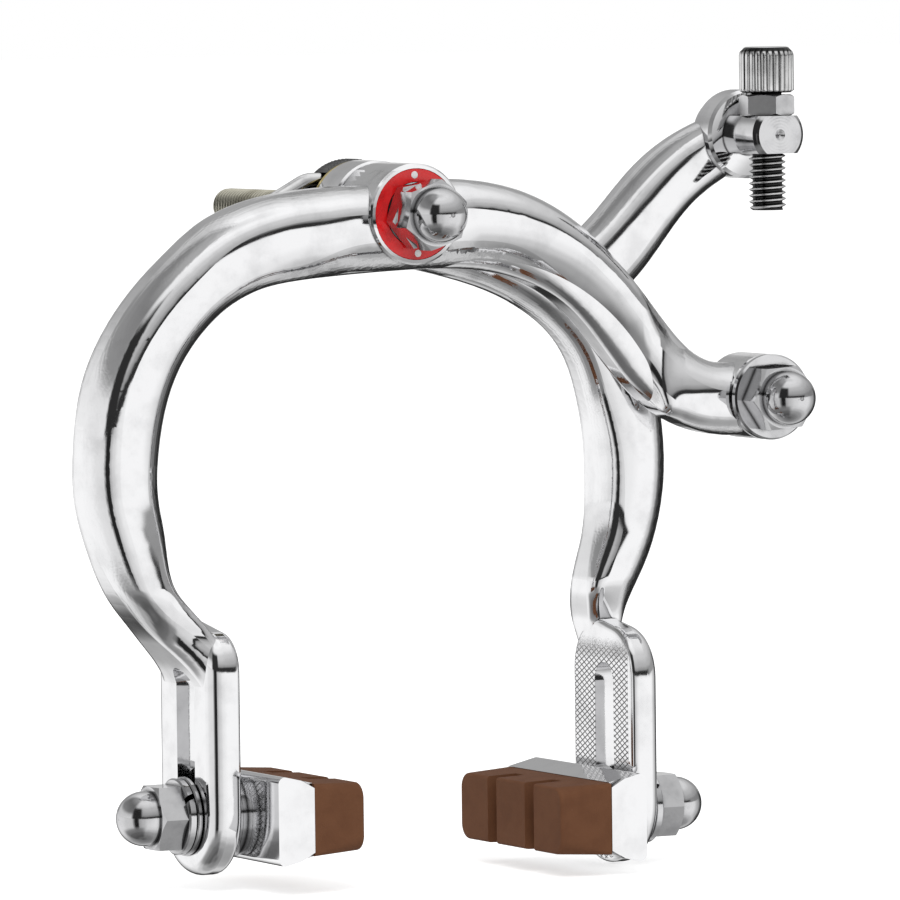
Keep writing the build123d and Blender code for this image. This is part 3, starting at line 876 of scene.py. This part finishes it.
softHorizon = {"middle": 76, "half": 26, "soft": 16, "level": 0.34}


def smooth(value):
    value = min(1.0, max(0.0, value))
    return value * value * (3 - 2 * value)


def levelAt(levels, place):
    for (low, first), (high, last) in zip(levels, levels[1:]):
        if low <= place <= high:
            return first + (last - first) * smooth((place - low) / (high - low))
    return levels[-1][1]


def besides(azimuth, strip):
    # 1 inside a strip, 0 outside
    off = (azimuth - strip["middle"] + 180) % 360 - 180
    return 1 - smooth((abs(off) - strip["half"]) / strip["soft"])


def below(elevation, limit):
    # 0 above a limit, 1 well below it
    return smooth((limit["top"] - elevation) / limit["fade"])


def roomGlow(azimuth, elevation):
    wall = levelAt(wallLevels, (azimuth + 180) % 360 - 180)
    if elevation < floorLevels[-1][0]:
        wall += (1 - wall) * below(elevation, evenFloor)
        glow = levelAt(floorLevels, elevation) * wall
        shade = besides(azimuth, leftFloor) * below(elevation, leftFloor)
        return glow * (1 - (1 - leftFloor["level"]) * shade * (1 - below(elevation, deepFloor)))
    left = besides(azimuth, leftSky)
    sky = levelAt(skyLevels, elevation)
    sky = max(sky, softHorizon["level"] * besides(azimuth, softHorizon))
    glow = sky + (levelAt(leftSkyLevels, elevation) - sky) * left
    for strip in (backWall, darkStrip):
        share = besides(azimuth, strip) * (1 - smooth((elevation - strip["top"]) / strip["fade"]))
        glow += (strip["level"] - glow) * share
    return glow


def glowAt(azimuth, elevation):
    # the room, with a small pale patch straight behind the part that lights slots and flat tops
    glow = roomGlow(azimuth, elevation)
    share = besides(azimuth, backPatch) * (1 - smooth((abs(elevation) - backPatch["top"]) / backPatch["soft"]))
    return glow + (backPatch["level"] - glow) * share


def makeDome(spec):
    points = []
    faces = []
    glow = []
    columns = spec["domeColumns"]
    rows = spec["domeRows"]
    limit = spec["domeLimit"]
    for row in range(rows + 1):
        elevation = -limit + 2 * limit * row / rows
        for column in range(columns):
            azimuth = 360 * column / columns
            turn = math.radians(azimuth)
            lift = math.radians(elevation)
            place = Vector((math.sin(turn) * math.cos(lift), -math.cos(turn) * math.cos(lift), math.sin(lift)))
            points.append(place * spec["domeRadius"])
            glow.append(glowAt(azimuth, elevation))
    for row in range(rows):
        for column in range(columns):
            after = (column + 1) % columns
            start = row * columns
            faces.append((start + column, start + after, start + columns + after, start + columns + column))
    f = Finish("studioDome")
    light = f.node("ShaderNodeAttribute", {"attribute_name": "glow"}, output="Fac")
    shader = f.node("ShaderNodeEmission", None, {"Color": light, "Strength": 1.0})
    f.node("ShaderNodeOutputMaterial", None, {"Surface": shader}, output=None)
    dome = meshPiece("studioDome", points, faces, f.material)
    attribute = dome.data.attributes.new("glow", "FLOAT", "POINT")
    attribute.data.foreach_set("value", glow)
    for hidden in ("visible_camera", "visible_diffuse", "visible_transmission", "visible_shadow",
                   "visible_volume_scatter"):
        setattr(dome, hidden, False)


def cameraLike(f):
    # 1 for rays that show the stage itself, 0 for rays that light the part
    paths = ("Is Camera Ray", "Is Glossy Ray", "Is Transmission Ray")
    seen = [f.node("ShaderNodeLightPath", output=path) for path in paths]
    total = seen[0] + seen[1] + seen[2]
    return f.math("MINIMUM", total, 1.0)


def makeFloor(spec, height):
    half = spec["floorHalf"]
    f = Finish("paleFloor")
    seen = cameraLike(f)
    shader = f.node("ShaderNodeBsdfPrincipled", None, {
        "Base Color": (*spec["floorColour"], 1),
        "Roughness": spec["floorRough"],
        "Specular IOR Level": 0.0,
        "Emission Color": seen * spec["floorGlow"],
        "Emission Strength": 1.0,
    })
    clear = f.node("ShaderNodeBsdfTransparent")
    under = f.node("ShaderNodeNewGeometry", output="Backfacing")
    mixed = f.node("ShaderNodeMixShader", None, {0: under, 1: shader, 2: clear})
    f.node("ShaderNodeOutputMaterial", None, {"Surface": mixed}, output=None)
    corners = [(-half, -half, height), (half, -half, height), (half, half, height), (-half, half, height)]
    floor = meshPiece("paleFloor", corners, [(0, 1, 2, 3)], f.material, False)
    floor.visible_glossy = False


def lightWorld(spec):
    world = bpy.data.worlds.new("paleRoom")
    bpy.context.scene.world = world
    f = Finish("paleRoom", world)
    seen = cameraLike(f)
    strength = seen + (1 - seen) * spec["worldLight"]
    shader = f.node("ShaderNodeBackground", None, {"Color": (1, 1, 1, 1), "Strength": strength})
    f.node("ShaderNodeOutputWorld", None, {"Surface": shader}, output=None)


def makeLamp(spec, target):
    data = bpy.data.lights.new("softLamp", "AREA")
    data.size = spec["lampSize"]
    data.energy = spec["lampPower"]
    lamp = bpy.data.objects.new("softLamp", data)
    lamp.location = spec["lampPlace"]
    lamp.rotation_mode = "QUATERNION"
    lamp.rotation_quaternion = (Vector(target) - lamp.location).to_track_quat("-Z", "Y")
    bpy.context.scene.collection.objects.link(lamp)
    lamp.visible_glossy = False


makeDome(stageSpec)
makeFloor(stageSpec, cadBox[0].z - stageSpec["floorDrop"])
lightWorld(stageSpec)
makeLamp(stageSpec, camera["target"])
bpy.context.scene.view_settings.view_transform = "Standard"
print("stage set")
